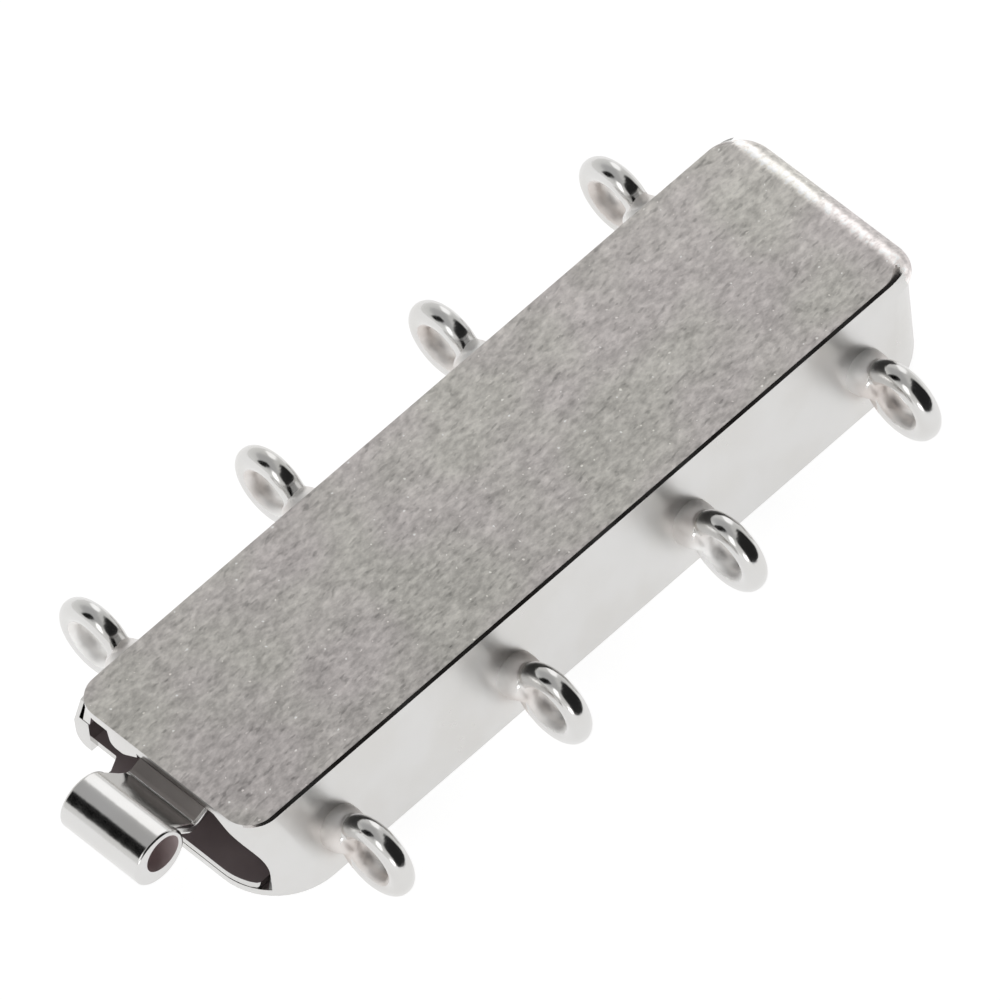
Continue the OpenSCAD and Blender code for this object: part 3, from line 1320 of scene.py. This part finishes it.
        # painted shade on the part that lies inside the box
        if spot.x < self.shoulder_end + self.margin:
            return p.inside
        if normal.y < -LEANS:
            return p.satin
        on_neck = spot.x < self.body.end + self.dip_out and normal.z > self.neck_up
        if on_neck and normal.y > self.rim_out:
            return p.solder
        return p.dark_brown if on_neck and normal.z > FACES_UP else p.rings

    def build(self) -> list[Piece]:
        """Builds the tongue.

        Returns:
            The finished piece.
        """
        tongue = self.roll()
        combine(tongue, self.neck_bar(), "UNION")
        span = (self.tab_span[0] - self.hollow_beyond, self.tab_span[1] + self.hollow_beyond)
        combine(tongue, self.cylinder(self.hollow_axis, self.hollow_radius, span), "DIFFERENCE")
        combine(tongue, self.spring(), "UNION")
        ease_edges(tongue, self.easing, segments=3)
        dress(tongue, self.finish_of)
        return [finish_piece(tongue, "tongue_tab", "spring", "tongue")]


@dataclass
class Rings(Maker):
    """The four soldered rings of one long side."""

    side: Side
    pitch: float = 7.8
    wire: float = 0.43
    radius: float = 1.12
    outwards: float = 2.18
    depth: float = 2.25
    solder_radius: float = 0.8
    solder_height: float = 0.85
    solder_top: float = 0.45
    solder_sunk: float = 0.5
    solder_reach: float = 0.75
    root_cut: float = 0.1
    cell: float = 0.04
    inner_face: float = 0.45
    right_shift: tuple[Point, ...] = ((0.01, 0.04), (0.1, 0.04), (0.2, 0.05), (0.28, 0))
    left_shift: tuple[Point, ...] = ((0.38, -0.06), (0.26, 0), (0.18, 0.1), (0.28, 0.06))

    @property
    def height(self) -> float:
        """Height of the rings' middles."""
        return self.body.height - self.depth

    def solder(self, foot: Vector, lean: float) -> Piece:
        """Spins the solder that spreads from the wire onto the wall.

        Args:
            foot: the middle of the solder on the wall.
            lean: how far the wall leans, in radians.

        Returns:
            A closed solid.
        """
        flank = self.solder_radius - self.solder_top
        section: list[Point] = [(0, -self.solder_sunk), (self.solder_radius, -self.solder_sunk)]
        for x, y in arc((0, 0), 1, 0, 90, step=9):
            section.append((self.solder_top + flank * x, self.solder_height * y))
        section.append((0, self.solder_height))
        piece = draw_chain("solder", Plane.XZ, section, 0)
        bpy.ops.mesh.select_all(action="SELECT")
        bpy.ops.mesh.spin(steps=40, angle=2 * math.pi, center=(0, 0, 0), axis=(0, 0, 1))
        bpy.ops.mesh.select_all(action="SELECT")
        bpy.ops.mesh.remove_doubles(threshold=SAME_SPOT)
        done_editing()
        piece.rotation_euler = (lean - math.pi / 2, 0, 0)
        piece.location = foot
        settle(piece)
        return piece

    def ring(self, along: float, outwards: float) -> Piece:
        """Makes one ring of the right side with its solder, blended as one.

        Args:
            along: its place along the length.
            outwards: how far it stands beside its even place, outwards.

        Returns:
            A closed mesh.
        """
        b = self.body
        lean = math.atan(b.flare / b.height)
        clear_selection()
        bpy.ops.mesh.primitive_torus_add(
            major_segments=96, minor_segments=32, major_radius=self.radius, minor_radius=self.wire,
            location=(along, b.half_width + self.outwards + outwards, self.height),
            rotation=(0, math.pi / 2, 0),
        )
        wire = bpy.context.active_object
        settle(wire)
        foot = Vector((along, b.side(self.height), self.height))
        piece = join([wire, self.solder(foot, lean)])
        modify(piece, "REMESH", mode="VOXEL", voxel_size=self.cell, adaptivity=0.0)
        modify(piece, "SMOOTH", factor=0.5, iterations=10)
        outward = Vector((0, math.cos(lean), math.sin(lean)))
        root = self.root_cut if self.side is Side.RIGHT else 0.0
        cut_flat(piece, foot - outward * root, outward)
        return piece

    def finish_of(self, centre: Vector, spot: Vector, normal: Vector) -> Material:
        """Chooses the duller finish for the root and the inside of the ring, polished for the rest.

        Args:
            centre: the ring's middle, at any place along the length.
            spot: a face's centre.
            normal: its normal.

        Returns:
            The finish.
        """
        inwards = Vector((0, centre.y - spot.y, centre.z - spot.z)).normalized()
        at_root = abs(spot.y) < self.body.side(spot.z) + self.solder_reach
        dull = at_root or normal.dot(inwards) > self.inner_face
        return self.palette.solder if dull else self.palette.rings

    def build(self) -> list[Piece]:
        """Builds the row.

        Returns:
            The finished rings, from the far end to the near end.
        """
        right = self.side is Side.RIGHT
        shifts = self.right_shift if right else self.left_shift
        body, node, slot = ("case", "box", Slot.BOX) if right else ("slider", "insert", Slot.INSERT)
        made = []
        for number, (shift, out) in enumerate(shifts):
            piece = self.ring((number - (len(shifts) - 1) / 2) * self.pitch + shift, out)
            if not right:
                piece.scale = (1, -1, 1)
                settle(piece)
                edit_all(piece)
                done_editing()
            middle = self.side.value * (self.body.half_width + self.outwards + out)
            dress(piece, partial(self.finish_of, Vector((0, middle, self.height))))
            name = f"{self.side.name.lower()}_ring_{number + 1}"
            made.append(finish_piece(piece, name, body, node, smooth=60))
        return made


# The studio

@dataclass(frozen=True)
class Card:
    """A soft-edged panel of the studio, as the clasp sees it, with its angles in degrees."""

    azimuth: float
    elevation: float
    half_width: float
    half_height: float
    level: float
    softness: float


@dataclass
class Studio:
    """Dome of light, pale floor and camera."""

    height: float
    azimuth: float = 50.05
    elevation: float = 54.11
    roll: float = -6.58
    aim: Point = (0.689, 0.698)
    pixels_per_mm: float = 31.72
    focal_pixels: float = 25000.0
    picture: float = 1000.0
    film: float = 36.0
    floor_size: float = 1.2
    dome: Point = (0.66, 0.02)
    low_dome: Point = (0.858, 0.01)
    dome_rise: Point = (-0.1, 0.8)
    card_front: Point = (0, 0.05)
    cards: tuple[Card, ...] = (
        Card(-55, 62, 38, 28, 0.48, 0.8),
        Card(105, 34, 53, 42, 0.02, 0.15),
        Card(-36, 38, 11, 22, 0.0, 0.22),
        Card(4, 30, 8, 17, 1.8, 0.3),
        Card(38, 5, 9, 6, 3.4, 0.3),
        Card(-147, 30, 11, 22, 1.3, 0.5),
    )

    def axes(self, azimuth: float, elevation: float, roll: float = 0.0) -> tuple[Vector, Vector, Vector]:
        """Gives the right, up and back directions of something that looks at the clasp.

        Args:
            azimuth: its angle round Z from +X, in degrees.
            elevation: its angle above the floor.
            roll: its turn about its own line of sight.

        Returns:
            Three unit vectors.
        """
        a, e, r = (math.radians(v) for v in (azimuth, elevation, roll))
        back = Vector((math.cos(e) * math.cos(a), math.cos(e) * math.sin(a), math.sin(e)))
        level_right = Vector((0, 0, 1)).cross(back).normalized()
        level_up = back.cross(level_right)
        right = math.cos(r) * level_right + math.sin(r) * level_up
        return right, back.cross(right), back

    def camera(self) -> None:
        """Adds the camera at the photo's angle."""
        right, up, back = self.axes(self.azimuth, self.elevation, self.roll)
        distance = self.focal_pixels / self.pixels_per_mm * MM
        target = Vector((*self.aim, self.height)) * MM
        data = bpy.data.cameras.new("camera")
        data.sensor_width = self.film
        data.lens = self.film * self.focal_pixels / self.picture
        camera = bpy.data.objects.new("camera", data)
        bpy.context.scene.collection.objects.link(camera)
        turn = Matrix((right, up, back)).transposed().to_4x4()
        camera.matrix_world = Matrix.Translation(target + back * distance) @ turn
        bpy.context.scene.camera = camera

    def card_mask(self, g: Graph, direction: Value, card: Card) -> Value:
        """Gives 1 where a direction of the dome falls on a card, and 0 beside it.

        Args:
            g: the world's graph.
            direction: the direction.
            card: the card.

        Returns:
            The mask.
        """
        right, up, back = self.axes(card.azimuth, card.elevation)
        across = (g.dot(direction, right) / math.sin(math.radians(card.half_width))).size()
        along = (g.dot(direction, up) / math.sin(math.radians(card.half_height))).size()
        edge = across * across * across + along * along * along
        in_front = g.dot(direction, back).ramp(*self.card_front)
        return (1 - edge.ramp(1 - card.softness, 1 + card.softness)) * in_front

    def light(self) -> None:
        """Builds the dome of light with its cards. The camera itself sees plain white round the floor."""
        world = bpy.data.worlds.new("studio")
        bpy.context.scene.world = world
        world.use_nodes = True
        g = Graph(world.node_tree)
        direction = g.add("ShaderNodeTexCoord", output="Generated")
        height = g.parts(direction, 3)[2]
        colour = g.blend(height.ramp(*self.dome_rise), tint(*self.low_dome), tint(*self.dome))
        for card in self.cards:
            colour = g.blend(self.card_mask(g, direction, card), colour, tint(card.level))
        seen = g.add("ShaderNodeLightPath", output="Is Camera Ray")
        inputs = {0: g.blend(seen, colour, tint(1.0)), 1: 1.0}
        g.close("ShaderNodeOutputWorld", g.node("ShaderNodeBackground", None, inputs))

    def floor(self) -> None:
        """Adds the pale floor."""
        clear_selection()
        bpy.ops.mesh.primitive_plane_add(size=self.floor_size)
        floor = bpy.context.active_object
        floor.name = "floor"
        floor.data.materials.append(PaleFloor().build())

    def build(self) -> None:
        """Builds the studio."""
        self.camera()
        self.light()
        self.floor()
        bpy.context.scene.view_settings.view_transform = "Standard"


def main() -> None:
    """Builds the studio and the clasp, piece by piece."""
    logging.basicConfig(level=logging.INFO, format="%(name)s: %(message)s")
    low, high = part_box("box")
    body = Body(height=high.z / MM, length=(high.x - low.x) / MM)
    palette = Palette()
    Studio(height=body.height).build()
    makers: list[Maker] = [Shell(body, palette), Insert(body, palette), Tongue(body, palette)]
    makers += [Rings(body, palette, side) for side in Side]
    for maker in makers:
        for piece in maker.build():
            log.info("%s: %d faces", piece.name, len(piece.data.polygons))


if __name__ == "__main__":
    main()
